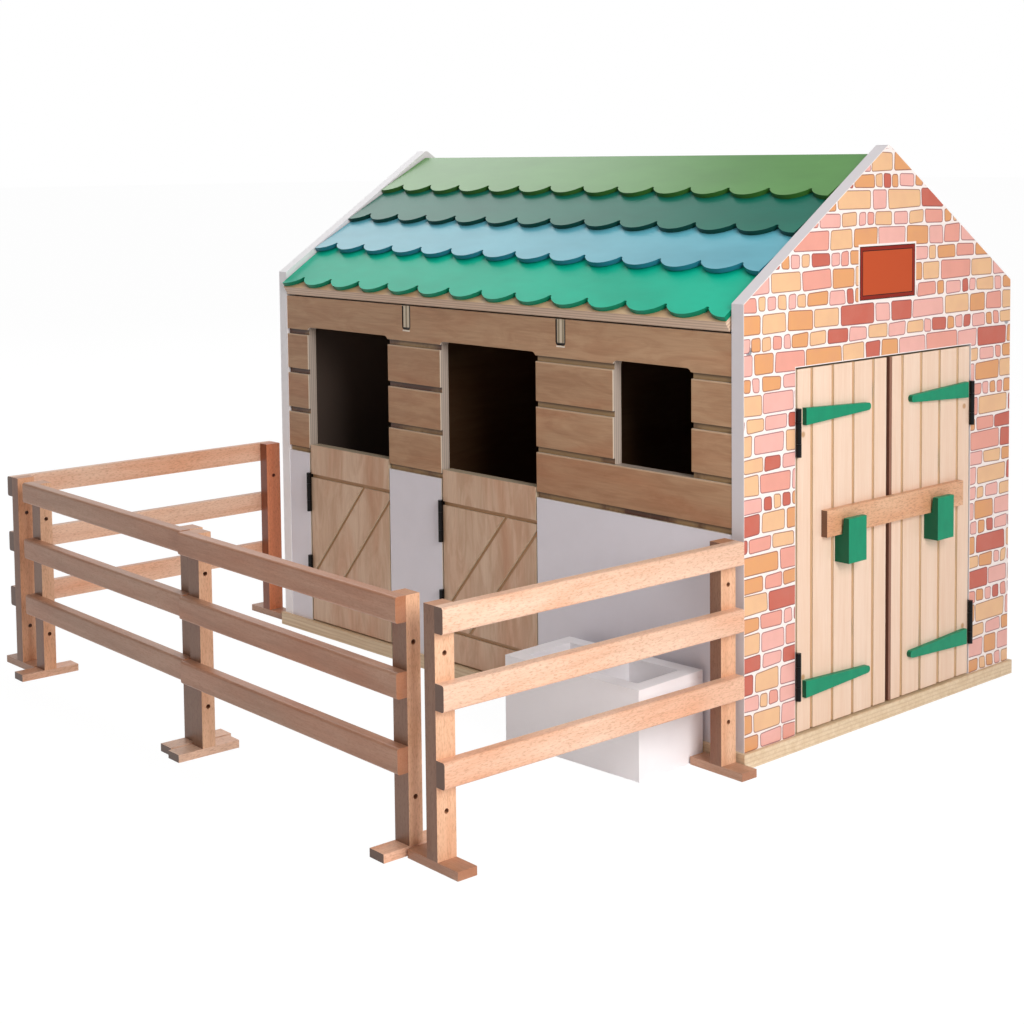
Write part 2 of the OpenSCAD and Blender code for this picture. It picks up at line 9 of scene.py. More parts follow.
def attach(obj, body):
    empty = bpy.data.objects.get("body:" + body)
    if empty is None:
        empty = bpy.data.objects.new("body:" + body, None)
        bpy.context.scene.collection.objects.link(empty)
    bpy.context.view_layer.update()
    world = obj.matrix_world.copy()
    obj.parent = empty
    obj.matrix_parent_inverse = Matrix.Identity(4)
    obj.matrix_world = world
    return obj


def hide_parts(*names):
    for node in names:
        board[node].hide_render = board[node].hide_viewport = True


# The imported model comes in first: every board, rail and hinge of the toy barn is a node of it,
# and this script gives each one its finish.
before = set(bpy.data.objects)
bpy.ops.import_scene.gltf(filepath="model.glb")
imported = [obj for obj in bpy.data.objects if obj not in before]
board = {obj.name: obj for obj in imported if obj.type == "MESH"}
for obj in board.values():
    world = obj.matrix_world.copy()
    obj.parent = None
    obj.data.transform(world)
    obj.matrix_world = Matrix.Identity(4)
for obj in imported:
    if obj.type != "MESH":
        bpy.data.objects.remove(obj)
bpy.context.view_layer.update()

# Camera
# A long lens looks at the corner between the stall wall and the brick gable, from a little
# above the eave. It is shifted, because the photograph is a crop of a wider frame.
lens = bpy.data.cameras.new("camera")
lens.sensor_width = 36.0
lens.lens = 62.87
lens.shift_x = -0.05066
lens.shift_y = -0.21959
lens.clip_start = 0.05
lens.clip_end = 100.0
camera = bpy.data.objects.new("camera", lens)
bpy.context.scene.collection.objects.link(camera)
camera_place = Vector((1.1778, -1.1933, 0.4656))
camera_right = Vector((0.68803, 0.72563, -0.00837))
camera_up = Vector((-0.04667, 0.05576, 0.99735))
camera_back = Vector((0.72418, -0.68582, 0.07223))
turn = Matrix((camera_right, camera_up, camera_back)).transposed()
camera.matrix_world = Matrix.Translation(camera_place) @ turn.to_4x4()
bpy.context.scene.camera = camera
bpy.context.scene.view_settings.view_transform = "Standard"


# Studio
# The toy stands on white paper. A soft lamp lights the brick gable from the right, a wide one
# hangs above, one beyond the far end gives the roof its sheen, and the white world fills.
def srgb(code):
    """The linear colour, with alpha, of a six-digit screen colour."""
    parts = [int(code[i : i + 2], 16) / 255 for i in (0, 2, 4)]
    return [p / 12.92 if p < 0.04045 else ((p + 0.055) / 1.055) ** 2.4 for p in parts] + [1.0]


def node(tree, kind, feeds=(), **settings):
    """Adds a shader node, sets it up, and feeds its sockets with values or with other sockets."""
    made = tree.nodes.new(kind)
    for name, value in settings.items():
        setattr(made, name, value)
    for name, feed in dict(feeds).items():
        if isinstance(feed, bpy.types.NodeSocket):
            tree.links.new(feed, made.inputs[name])
        else:
            made.inputs[name].default_value = feed
    return made


def maths(tree, operation, a, b=0.0):
    """One step of arithmetic between two values or sockets."""
    return node(tree, "ShaderNodeMath", {0: a, 1: b}, operation=operation).outputs[0]


def times(tree, a, b):
    """The product of two values. Of two masks, it is where both hold."""
    return maths(tree, "MULTIPLY", a, b)


world = bpy.data.worlds.new("studio")
bpy.context.scene.world = world
world.use_nodes = True
sky = world.node_tree
background = sky.nodes["Background"]
background.inputs["Color"].default_value = (1.0, 1.0, 1.0, 1.0)
rays = node(sky, "ShaderNodeLightPath").outputs
seen = maths(sky, "MAXIMUM", rays["Is Camera Ray"], rays["Is Transmission Ray"])
glossy_share = 0.2
seen = maths(sky, "MAXIMUM", seen, times(sky, rays["Is Glossy Ray"], glossy_share))
fill = 0.29
strength = maths(sky, "ADD", times(sky, seen, 1.0 - fill), fill)
sky.links.new(strength, background.inputs["Strength"])


def lamp(name, place, aim, size, power, tint=(1.0, 1.0, 1.0)):
    """A square soft box at a place, turned to its aim, which the camera doesn't see."""
    light = bpy.data.lights.new(name, "AREA")
    light.shape = "SQUARE"
    light.size = size
    light.energy = power
    light.color = tint
    stand = bpy.data.objects.new(name, light)
    bpy.context.scene.collection.objects.link(stand)
    stand.location = place
    stand.rotation_mode = "QUATERNION"
    stand.rotation_quaternion = (Vector(aim) - Vector(place)).to_track_quat("-Z", "Y")
    stand.visible_camera = False


warm = (1.0, 0.985, 0.98)
lamp("key", place=(1.35, -0.58, 0.75), aim=(-0.2, -0.9, 0.15), size=0.7, power=15.2, tint=warm)
lamp("top", place=(-0.2, 0.2, 2.3), aim=(-0.1, 0.0, 0.3), size=1.2, power=13.0)
lamp("sheen", place=(-2.6, 0.95, 1.88), aim=(-0.2, 0.0, 0.4), size=1.4, power=13.0)

floor_mesh = bpy.data.meshes.new("floor")
sheet = bmesh.new()
bmesh.ops.create_grid(sheet, x_segments=1, y_segments=1, size=30.0)
sheet.to_mesh(floor_mesh)
sheet.free()
floor = bpy.data.objects.new("floor", floor_mesh)
bpy.context.scene.collection.objects.link(floor)
floor_finish = bpy.data.materials.new("white_paper")
floor_finish.use_nodes = True
tree = floor_finish.node_tree
tree.nodes.remove(tree.nodes["Principled BSDF"])
rays = node(tree, "ShaderNodeLightPath").outputs
matt = node(tree, "ShaderNodeBsdfDiffuse", {"Color": (0.9, 0.9, 0.9, 1.0)}).outputs[0]
glow = node(
    tree, "ShaderNodeEmission", {"Color": (1.0, 1.0, 1.0, 1.0), "Strength": 1.04}
).outputs[0]
seen = maths(tree, "MAXIMUM", rays["Is Camera Ray"], rays["Is Glossy Ray"])
# where the camera sees the paper it is burnt out to white, with a trace of shadow left
burnt_out = 0.93
mixed = node(tree, "ShaderNodeMixShader", {0: times(tree, seen, burnt_out), 1: matt, 2: glow})
tree.links.new(mixed.outputs[0], tree.nodes["Material Output"].inputs["Surface"])
floor_mesh.materials.append(floor_finish)


# Base board
# A pine board, planed and left bare, a little wider than the barn all round. Its long side
# shows straight growth lines. The hidden battens that carry the roof are of the same pine.
def finish(name, roughness, specular=0.5):
    """An opaque material, and the tree and shader to build its look with."""
    made = bpy.data.materials.new(name)
    made.use_nodes = True
    shader = made.node_tree.nodes["Principled BSDF"]
    shader.inputs["Roughness"].default_value = roughness
    shader.inputs["Specular IOR Level"].default_value = specular
    return made, made.node_tree, shader


def mix(tree, amount, below, above, blend="MIX"):
    """One colour laid over another by an amount from 0 to 1."""
    made = node(tree, "ShaderNodeMix", data_type="RGBA", blend_type=blend)
    for socket, feed in ((0, amount), (6, below), (7, above)):
        if isinstance(feed, bpy.types.NodeSocket):
            tree.links.new(feed, made.inputs[socket])
        else:
            made.inputs[socket].default_value = feed
    return made.outputs[2]


def lay(tree, amount, colour, code):
    """The colour with a screen colour laid over it."""
    return mix(tree, amount, colour, srgb(code))


def stain(tree, amount, colour, code):
    """The colour darkened by a screen colour, as a clear stain does."""
    return mix(tree, amount, colour, srgb(code), "MULTIPLY")


def steps(tree, value, *stops):
    """A value from 0 to 1, read off a scale of (place, grey) stops."""
    made = node(tree, "ShaderNodeValToRGB", {"Fac": value})
    marks = made.color_ramp.elements
    for i, (place, grey) in enumerate(stops):
        mark = marks[i] if i < 2 else marks.new(place)
        mark.position = place
        mark.color = (grey, grey, grey, 1.0)
    return made.outputs["Color"]


def axes(tree, output):
    """The x, y and z of where a point is, or of the way it faces."""
    source = node(tree, "ShaderNodeTexCoord").outputs[output]
    return source, node(tree, "ShaderNodeSeparateXYZ", {0: source}).outputs


def cloud(tree, place, size, stretch=(1.0, 1.0, 1.0), detail=3.0, bend=0.0):
    """Soft noise whose patches are about size metres wide, drawn out along the small axes."""
    drawn = node(
        tree, "ShaderNodeMapping", {"Vector": place, "Scale": [s / size for s in stretch]}
    ).outputs[0]
    return node(
        tree,
        "ShaderNodeTexNoise",
        {"Vector": drawn, "Scale": 1.0, "Detail": detail, "Roughness": 0.6, "Distortion": bend},
    ).outputs["Fac"]


along = {"X": (0.05, 1.0, 1.0), "Y": (1.0, 0.05, 1.0), "Z": (1.0, 1.0, 0.05)}


def grain(tree, place, run, pale, deep, bands, fibres, strength):
    """Wood colour with broad bands and fine fibres along one axis, and the fibres alone."""
    stretch = along[run]
    broad = cloud(tree, place, bands, stretch, detail=2.0, bend=0.8)
    fine = cloud(tree, place, fibres, stretch, detail=4.0)
    shade = maths(tree, "ADD", times(tree, broad, 0.6), times(tree, fine, 0.4))
    shade = steps(tree, shade, (0.36, 0.0), (0.64, 1.0))
    return mix(tree, times(tree, shade, strength), srgb(pale), srgb(deep)), fine


def surface(tree, shader, colour, height, depth=0.00012, strength=0.4):
    """Sets the colour, and lets a pattern catch the light as relief of a depth in metres."""
    tree.links.new(colour, shader.inputs["Base Color"])
    bump = node(
        tree, "ShaderNodeBump", {"Height": height, "Distance": depth, "Strength": strength}
    )
    tree.links.new(bump.outputs[0], shader.inputs["Normal"])


def dress(names, made):
    """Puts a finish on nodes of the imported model."""
    for name in names:
        slots = board[name].data.materials
        slots.clear()
        slots.append(made)


pine, tree, shader = finish("bare_pine", roughness=0.55)
place, _ = axes(tree, "Object")
colour, fine = grain(
    tree, place, "X", "efd9bb", "d8bb95", bands=0.006, fibres=0.0012, strength=0.8
)
lines = node(
    tree,
    "ShaderNodeTexWave",
    {"Vector": place, "Scale": 95.0, "Distortion": 1.6, "Detail": 2.0, "Detail Scale": 0.25},
    bands_direction="Z",
).outputs["Fac"]
lines = steps(tree, lines, (0.55, 0.0), (0.95, 1.0))
colour = lay(tree, times(tree, lines, 0.32), colour, "c39f74")
surface(tree, shader, colour, fine, depth=0.00015, strength=0.5)
dress(["base_board", "battens_near", "battens_far"], pine)

# Gable boards
# Two five-sided boards, painted white with a rolled surface that shows small nibs. The sawn
# edges of the near one are coloured a little greyer, and those of the far one whiter, as painted
# light.
gable_face = 0.303
inner_space = {"X": 0.2912, "Y": 0.1697, "Z": 0.34}
square_on = 0.7


def less(tree, a, b):
    """A mask of where one value is below another."""
    return maths(tree, "LESS_THAN", a, b)


def more(tree, a, b):
    """A mask of where one value is above another."""
    return maths(tree, "GREATER_THAN", a, b)


def off(tree, value, middle=0.0):
    """How far a value lies from a middle, to either side."""
    return maths(tree, "ABSOLUTE", maths(tree, "SUBTRACT", value, middle))


def shade_inside(tree, at, colour):
    """Darkens the faces inside the closed barn, where the photograph shows almost no light."""
    inside = 1.0
    for axis, reach in inner_space.items():
        inside = times(tree, inside, less(tree, off(tree, at[axis]), reach))
    return stain(tree, inside, colour, "6c5e54")


white_board, tree, shader = finish("white_board", roughness=0.42)
place, at = axes(tree, "Object")
_, way = axes(tree, "Normal")
edge = less(tree, off(tree, way["X"]), square_on)
mottle = steps(tree, cloud(tree, place, 0.05, detail=4.0), (0.35, 0.0), (0.7, 0.3))
colour = mix(tree, mottle, srgb("f6f1f2"), srgb("ece6e6"))
colour = lay(tree, more(tree, at["X"], gable_face - 0.0005), colour, "f7ebe6")
# the far gable's sawn edges are painted whiter than its face, as painted light
sawn = mix(tree, more(tree, at["X"], 0.0), srgb("fffcfe"), srgb("dbd5d8"))
colour = mix(tree, edge, colour, sawn)
# the head of the doorway, which lies in the shadow of the leaves, is painted dark as shade, and
# so is every edge face that looks down
head_shade = times(tree, less(tree, way["Z"], -square_on), edge)
colour = lay(tree, head_shade, colour, "3a2a22")
nibs = cloud(tree, place, 0.0012, detail=2.0)
surface(tree, shader, shade_inside(tree, at, colour), nibs, depth=0.0001, strength=0.5)
dress(["gable_near", "gable_far"], white_board)

# Brick print
# The outer face of the near gable is printed with courses of tall and short bricks in five
# warm tints, each with a thin mauve outline, and the white paint shows between them.
half_depth = 0.18
shoulder = 0.355
apex = 0.4745
slope = math.atan2(apex - shoulder, half_depth)
lowest_course = 0.0125
tall_course = 0.0157
short_course = 0.0112
tall_widths = [0.019, 0.023, 0.028, 0.031, 0.036, 0.044]
short_widths = [0.009, 0.0105, 0.02, 0.023, 0.026]
stagger = 0.02
joint = 0.0018
corner_radius = 0.0024
uneven = 0.0008
outline = 0.0008
ink_thickness = 0.00008
pink, salmon, orange, tan, red = "edb2a7", "e79f8e", "e09f68", "ebbc8e", "c4604d"
brick_tints = [pink, pink, pink, salmon, orange, orange, tan, tan, red]


def face_outwards(bed, face):
    """Turns a new face to look along x, away from the gable."""
    face.normal_update()
    if face.normal.x < 0:
        bmesh.ops.reverse_faces(bed, faces=[face])


def brick(bed, left, right, low, high, shuffle):
    """One printed brick: a new face with rounded, slightly uneven corners."""
    before = set(bed.faces)
    made = bmesh.ops.create_grid(bed, x_segments=1, y_segments=1, size=0.5)["verts"]
    for corner in made:
        y = left if corner.co.x < 0 else right
        z = low if corner.co.y < 0 else high
        y += shuffle.uniform(-uneven, uneven)
        z += shuffle.uniform(-uneven, uneven)
        corner.co = Vector((gable_face, y, z))
    face_outwards(bed, made[0].link_faces[0])
    bmesh.ops.bevel(
        bed,
        geom=made,
        offset=min(corner_radius, 0.3 * (right - left), 0.3 * (high - low)),
        offset_type="OFFSET",
        affect="VERTICES",
        segments=3,
        profile=0.5,
        material=-1,
    )
    return [f for f in bed.faces if f not in before][0]


def paint(face, layer, colour):
    """Gives one face its printed colour."""
    for loop in face.loops:
        loop[layer] = colour


def score(bed, faces, point, normal, clear=False):
    """Cuts the faces along a plane, and can clear away what lies beyond it."""
    edges = dict.fromkeys(e for f in faces for e in f.edges)
    corners = dict.fromkeys(v for f in faces for v in f.verts)
    bmesh.ops.bisect_plane(
        bed,
        geom=[*corners, *edges, *faces],
        plane_co=Vector(point),
        plane_no=Vector(normal),
        clear_outer=clear,
    )


def erase(bed, left, right, low, high):
    """Deletes the faces whose middles lie in a window."""
    gone = []
    for face in bed.faces:
        middle = face.calc_center_median()
        if left < middle.y < right and low < middle.z < high:
            gone.append(face)
    bmesh.ops.delete(bed, geom=gone, context="FACES")


def printed_sheet(bed, name, ink):
    """The object of a finished bed of printed faces, as thick as a coat of ink."""
    mesh = bpy.data.meshes.new(name)
    bed.to_mesh(mesh)
    bed.free()
    mesh.materials.append(ink)
    sheet = bpy.data.objects.new(name, mesh)
    bpy.context.scene.collection.objects.link(sheet)
    coat = sheet.modifiers.new("ink", "SOLIDIFY")
    coat.thickness = ink_thickness
    coat.offset = 1.0
    return sheet


bed = bmesh.new()
layer = bed.loops.layers.float_color.new("print")
shuffle = random.Random(12)
low = lowest_course
tall = False
last_tint = None
while low < apex:
    high = low + (tall_course if tall else short_course)
    left = -half_depth - shuffle.uniform(0.0, stagger)
    while left < half_depth:
        right = left + shuffle.choice(tall_widths if tall else short_widths)
        tint = shuffle.choice([t for t in brick_tints if t != last_tint])
        last_tint = tint
        face = brick(bed, left, right, low, high, shuffle)
        fired = srgb(tint)
        # the outline is a dark, mauve shade of the brick's own tint
        mauve = [0.42 * fired[0] + 0.03, 0.36 * fired[1] + 0.02, 0.40 * fired[2] + 0.03, 1.0]
        paint(face, layer, fired)
        for rim in bmesh.ops.inset_individual(bed, faces=[face], thickness=outline)["faces"]:
            paint(rim, layer, mauve)
        left = right + joint
    low = high + joint
    tall = not tall
# the sheet is trimmed just within the gable's outline, which is rounded at the apex
side_margin, slope_margin = 0.0004, 0.0006
for side in (-1, 1):
    wall_line = (0, side * (half_depth - side_margin), 0)
    score(bed, bed.faces[:], wall_line, (0, side, 0), clear=True)
    roof_line = (0, 0, apex - slope_margin)
    score(bed, bed.faces[:], roof_line, (0, side * math.sin(slope), math.cos(slope)), clear=True)
doorway_half = 0.1195
doorway_top = 0.3028
blunt_tip = apex - 0.0035
for y in (-doorway_half, doorway_half):
    score(bed, bed.faces[:], (0, y, 0), (0, 1, 0))
for z in (doorway_top, blunt_tip):
    score(bed, bed.faces[:], (0, 0, z), (0, 0, 1))
erase(bed, -doorway_half, doorway_half, 0.0, doorway_top)
erase(bed, -half_depth, half_depth, blunt_tip, apex)
# a white joint is left round the plaque, so only the bricks near it are cut
plate_left, plate_right, plate_low, plate_high = -0.0382, 0.0364, 0.349, 0.3923
patch_low, patch_high, patch_half = 0.33, 0.415, 0.08
for point, normal in (
    ((0, plate_left - joint, 0), (0, 1, 0)),
    ((0, plate_right + joint, 0), (0, 1, 0)),
    ((0, 0, plate_low - joint), (0, 0, 1)),
    ((0, 0, plate_high + joint), (0, 0, 1)),
):
    around = [f for f in bed.faces if patch_low < f.calc_center_median().z < patch_high]
    around = [f for f in around if abs(f.calc_center_median().y) < patch_half]
    score(bed, around, point, normal)
erase(bed, plate_left - joint, plate_right + joint, plate_low - joint, plate_high + joint)
ink, tree, shader = finish("brick_ink", roughness=0.4)
printed = node(tree, "ShaderNodeAttribute", attribute_name="print").outputs["Color"]
place, _ = axes(tree, "Object")
wash = steps(tree, cloud(tree, place, 0.02, detail=5.0), (0.4, 0.0), (0.75, 0.22))
tree.links.new(lay(tree, wash, printed, "c98c7c"), shader.inputs["Base Color"])
bricks = printed_sheet(bed, "brick_print", ink)
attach(bricks, "barn")

# Gable plaque
# A small printed board above the doors: a dark red frame with a rust-brown panel. The panel is
# left bare.
plate_face = gable_face + 0.0001
line_width, frame_width = 0.0009, 0.0038
bed = bmesh.new()
layer = bed.loops.layers.float_color.new("print")
for corner in bmesh.ops.create_grid(bed, x_segments=1, y_segments=1, size=0.5)["verts"]:
    y = plate_left if corner.co.x < 0 else plate_right
    z = plate_low if corner.co.y < 0 else plate_high
    corner.co = Vector((plate_face, y, z))
face = bed.faces[:][0]
face_outwards(bed, face)
for width, tint in ((line_width, "160504"), (frame_width, "882214"), (line_width, "160504")):
    for rim in bmesh.ops.inset_individual(bed, faces=[face], thickness=width)["faces"]:
        paint(rim, layer, srgb(tint))
paint(face, layer, srgb("bc4e28"))
board_ink, tree, shader = finish("board_ink", roughness=0.5, specular=0.2)
printed = node(tree, "ShaderNodeAttribute", attribute_name="print").outputs["Color"]
tree.links.new(printed, shader.inputs["Base Color"])
plate = printed_sheet(bed, "gable_plaque", board_ink)
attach(plate, "barn")


# Long walls and partitions
# Birch plywood 10 mm thick, varnished. Cross veneers show as stripes on every sawn edge. The
# stall wall has routed plank lines above, and white paint below the lowest line.
def ply(tree, at, way, across, colour, period=0.0022, pale="cdbfa9", deep="a5947e"):
    """Plywood: the colour on its faces, and veneers that repeat by a period on its edges."""
    turns = times(tree, at[across], 2 * math.pi / period)
    stripe = maths(tree, "ADD", times(tree, maths(tree, "SINE", turns), 0.5), 0.5)
    stripe = steps(tree, stripe, (0.35, 0.0), (0.75, 1.0))
    veneers = mix(tree, stripe, srgb(pale), srgb(deep))
    return mix(tree, less(tree, off(tree, way[across]), sawn_below), colour, veneers)


def birch(tree, place, run, pale, deep):
    """Varnished birch, whose peeled veneer has a cloudy figure and a warm blush in places."""
    colour, fine = grain(tree, place, run, pale, deep, bands=0.03, fibres=0.0014, strength=0.7)
    flowing = [max(s, 0.22) for s in along[run]]
    figure = cloud(tree, place, 0.016, flowing, detail=5.0, bend=1.6)
    colour = stain(tree, steps(tree, figure, (0.42, 0.0), (0.6, 0.34)), colour, "cfae90")
    blush = cloud(tree, place, 0.06, flowing, detail=3.0, bend=1.2)
    colour = stain(tree, steps(tree, blush, (0.48, 0.0), (0.68, 0.4)), colour, "f0bd9c")
    return colour, fine


# faces that look less than this along the board's thickness are its sawn edges
sawn_below = 0.6
satin = 0.42
wall_face = -0.1795
lowest_line = 0.181
paint_top = 0.1786
plank = 0.0387
partition_at = 0.1026
notch_floor, notch_head = 0.31, 0.3317
notch_half, notch_highlight_half = 0.0065, 0.0052
stall_wall, tree, shader = finish("birch_stall_wall", satin)
place, at = axes(tree, "Object")
_, way = axes(tree, "Normal")
colour, fine = birch(tree, place, "X", "c69e7a", "a67e5b")
front = more(tree, times(tree, way["Y"], -1.0), sawn_below)
sawn = less(tree, off(tree, way["Y"]), sawn_below)
cut = more(tree, at["Y"], wall_face + 0.0006)
# every plank was sanded by itself, so each stretch of it has its own tone
stretches_per_metre = 5.0
course = maths(tree, "DIVIDE", maths(tree, "SUBTRACT", at["Z"], lowest_line), plank)
stretch = maths(tree, "FLOOR", times(tree, at["X"], stretches_per_metre))
cell = node(tree, "ShaderNodeCombineXYZ", {0: stretch, 1: maths(tree, "FLOOR", course)})
tone = node(
    tree, "ShaderNodeTexWhiteNoise", {"Vector": cell.outputs[0]}, noise_dimensions="3D"
).outputs["Value"]
colour = lay(tree, times(tree, tone, 0.14), colour, "a8714c")
# each groove has a dark line of painted shade under the plank, and a pale lip of painted
# highlight on the plank below
phase = maths(tree, "FRACT", maths(tree, "ADD", course, 0.5))
lip_highlight = steps(tree, phase, (0.402, 0.0), (0.412, 0.6), (0.434, 0.6), (0.436, 0.0))
has_lines = less(tree, off(tree, course, 1.5), 1.9)
colour = lay(tree, times(tree, lip_highlight, has_lines), colour, "dcc0a0")
char = cloud(tree, place, 0.02, (0.25, 1.0, 0.2), detail=5.0)
routed = mix(tree, steps(tree, char, (0.5, 0.0), (0.6, 1.0)), srgb("a9885e"), srgb("5a3420"))
# painted shade along the top of each groove, under the plank above
routed = lay(tree, steps(tree, phase, (0.49, 0.0), (0.55, 0.85)), routed, "2c1a10")
colour = mix(tree, times(tree, cut, front), colour, routed)
# white paint covers the lower part
skin = times(tree, less(tree, at["Z"], paint_top), maths(tree, "SUBTRACT", 1.0, cut))
mottle = steps(tree, cloud(tree, place, 0.03), (0.4, 0.0), (0.7, 0.3))
colour = mix(tree, skin, colour, mix(tree, mottle, srgb("ebe7ee"), srgb("e2dee4")))
# painted highlight on the sawn edges at the front corner, and painted shade inside the two
# notches
colour = ply(tree, at, way, "Y", colour, 0.0022, "c3b3a5", "ab9b8f")
corner = times(tree, sawn, less(tree, at["Y"], wall_face + 0.0012))
colour = lay(tree, times(tree, corner, 0.7), colour, "ecdcc6")
from_tab = off(tree, off(tree, at["X"]), partition_at)
above_floor = more(tree, at["Z"], notch_floor - 0.0002)
notch_shade = times(tree, above_floor, less(tree, at["Z"], notch_head))
notch_shade = times(tree, notch_shade, less(tree, from_tab, notch_half))
colour = lay(tree, times(tree, sawn, notch_shade), colour, "1f140d")
# a pale rim of painted highlight shows under each notch, 0.1 to 1.7 mm below its floor
below = times(tree, maths(tree, "SUBTRACT", notch_floor, at["Z"]), 250.0)
rim = steps(tree, below, (0.02, 0.0), (0.08, 1.0), (0.34, 1.0), (0.42, 0.0))
rim = times(tree, rim, less(tree, from_tab, notch_highlight_half))
colour = lay(tree, times(tree, rim, front), colour, "efe2d0")
surface(tree, shader, shade_inside(tree, at, colour), fine)
dress(["front_wall"], stall_wall)

rear_birch, tree, shader = finish("birch_rear_wall", satin)
place, at = axes(tree, "Object")
_, way = axes(tree, "Normal")
colour, fine = birch(tree, place, "X", "dcc09a", "c39f77")
colour = ply(tree, at, way, "Y", colour)
surface(tree, shader, shade_inside(tree, at, colour), fine)
dress(["rear_wall"], rear_birch)

partition_birch, tree, shader = finish("birch_partition", satin)
place, at = axes(tree, "Object")
_, way = axes(tree, "Normal")
colour, fine = birch(tree, place, "Y", "dcc09a", "c39f77")
colour = ply(tree, at, way, "X", colour, 0.0052, "d9c9b0", "9c8a70")
# the tabs are loose in their notches, and painted shade darkens their edges all round
tab_core_half, tab_core_low = 0.0043, 0.3122
tab_face = 0.1785
from_middle = off(tree, off(tree, at["X"]), partition_at)
beside, under = more(tree, from_middle, tab_core_half), less(tree, at["Z"], tab_core_low)
rim = maths(tree, "MAXIMUM", beside, under)
in_wall = more(tree, off(tree, at["Y"]), tab_face)
tab = times(tree, more(tree, at["Z"], notch_floor + 0.0005), in_wall)
colour = lay(tree, times(tree, rim, tab), colour, "2a1c12")
surface(tree, shader, shade_inside(tree, at, colour), fine)
dress(["partition_left", "partition_right"], partition_birch)

# Roof boards
# Each slope is a birch plywood board with its veneers showing along the eave. The slopes lean
# at 34 degrees, so the stripes are counted square to the slope.
for side, name in ((1, "roof_front_board"), (-1, "roof_rear_board")):
    roof_birch, tree, shader = finish("birch_" + name, satin)
    place, _ = axes(tree, "Object")
    facing, _ = axes(tree, "Normal")
    lean = {"Rotation": (-side * slope, 0.0, 0.0)}
    square = node(tree, "ShaderNodeMapping", {"Vector": place, **lean}).outputs[0]
    at = node(tree, "ShaderNodeSeparateXYZ", {0: square}).outputs
    square_way = node(tree, "ShaderNodeMapping", {"Vector": facing, **lean}).outputs[0]
    way = node(tree, "ShaderNodeSeparateXYZ", {0: square_way}).outputs
    colour, fine = birch(tree, place, "X", "e0bf97", "c49a70")
    colour = ply(tree, at, way, "Z", colour, 0.0026, "dac0a8", "c3a68e")
    surface(tree, shader, colour, fine)
    dress([name], roof_birch)

# Scalloped tile strips
# Thin boards sawn to a row of scallops and sprayed in four greens and blues, satin. Their sawn
# edges are coloured darker.
tile_tints = {
    "green": ("589a45", "2f5e1c", 0.5),
    "teal": ("007460", "083c34", 0.2),
    "blue": ("66bbcd", "1f7186", 0.42),
    "emerald": ("00c6a1", "077c5c", 0.18),
}
for tint, (face_code, edge_code, gloss) in tile_tints.items():
    tile_paint, tree, shader = finish("tile_" + tint, roughness=0.3, specular=gloss)
    place, _ = axes(tree, "Object")
    _, way = axes(tree, "Normal")
    top = more(tree, way["Z"], square_on)
    mottle = steps(tree, cloud(tree, place, 0.04, (0.4, 1.0, 1.0)), (0.35, 0.0), (0.75, 0.3))
    colour = mix(tree, mottle, srgb(face_code), srgb(edge_code))
    colour = mix(tree, top, srgb(edge_code), colour)
    peel = cloud(tree, place, 0.0016, detail=2.0)
    surface(tree, shader, colour, peel, depth=0.00006, strength=0.6)
    dress(["roof_front_tiles_" + tint, "roof_rear_tiles_" + tint], tile_paint)

# Double doors
# Two leaves of pale birch plywood with routed plank lines, varnished. The router cuts into the
# brown glue veneer here and there, and a small round knot sits beside each hinge.
pale_ply, tree, shader = finish("pale_door_ply", roughness=0.4)
place, at = axes(tree, "Object")
_, way = axes(tree, "Normal")
colour, fine = grain(
    tree, place, "Z", "f2d6c0", "e6c0a2", bands=0.02, fibres=0.0014, strength=0.7
)
# the leaves lie flush with the gable, and their grooves are 2 mm deep
groove_from, groove_to = gable_face - 0.0005, gable_face - 0.0035
in_groove = times(tree, less(tree, at["X"], groove_from), more(tree, at["X"], groove_to))
char = cloud(tree, place, 0.03, (1.0, 1.0, 0.3), detail=2.0)
routed = mix(tree, steps(tree, char, (0.6, 0.0), (0.66, 1.0)), srgb("c8946c"), srgb("5e3f2c"))
colour = mix(tree, in_groove, colour, routed)
colour = ply(tree, at, way, "X", colour, 0.0034, "ecd5b0", "a88560")
# the meeting edges are painted brown as shade, and so is the rebate that the right leaf has along
# its own
gap_reach = 0.004
rebate_middle, rebate_half = 0.0038, 0.0018
sideways = more(tree, off(tree, way["Y"]), sawn_below)
meeting_shade = times(tree, less(tree, off(tree, at["Y"]), gap_reach), sideways)
colour = lay(tree, meeting_shade, colour, "74493a")
rebate_shade = less(tree, off(tree, at["Y"], rebate_middle), rebate_half)
colour = lay(tree, times(tree, rebate_shade, more(tree, way["X"], sawn_below)), colour, "8c5d47")
for knot_y in (-0.1095, 0.1095):
    for knot_z in (0.249, 0.0565):
        y_away = maths(tree, "POWER", off(tree, at["Y"], knot_y), 2.0)
        z_away = maths(tree, "POWER", off(tree, at["Z"], knot_z), 2.0)
        away = maths(tree, "SQRT", maths(tree, "ADD", y_away, z_away))
        # a knot is dark up to 1.5 mm from its middle, and fades out by 3 mm
        knot = steps(tree, times(tree, away, 200.0), (0.3, 1.0), (0.6, 0.0))
        colour = lay(tree, times(tree, knot, 0.8), colour, "c08a52")
surface(tree, shader, colour, fine)
dress(["door_left_leaf", "door_right_leaf"], pale_ply)
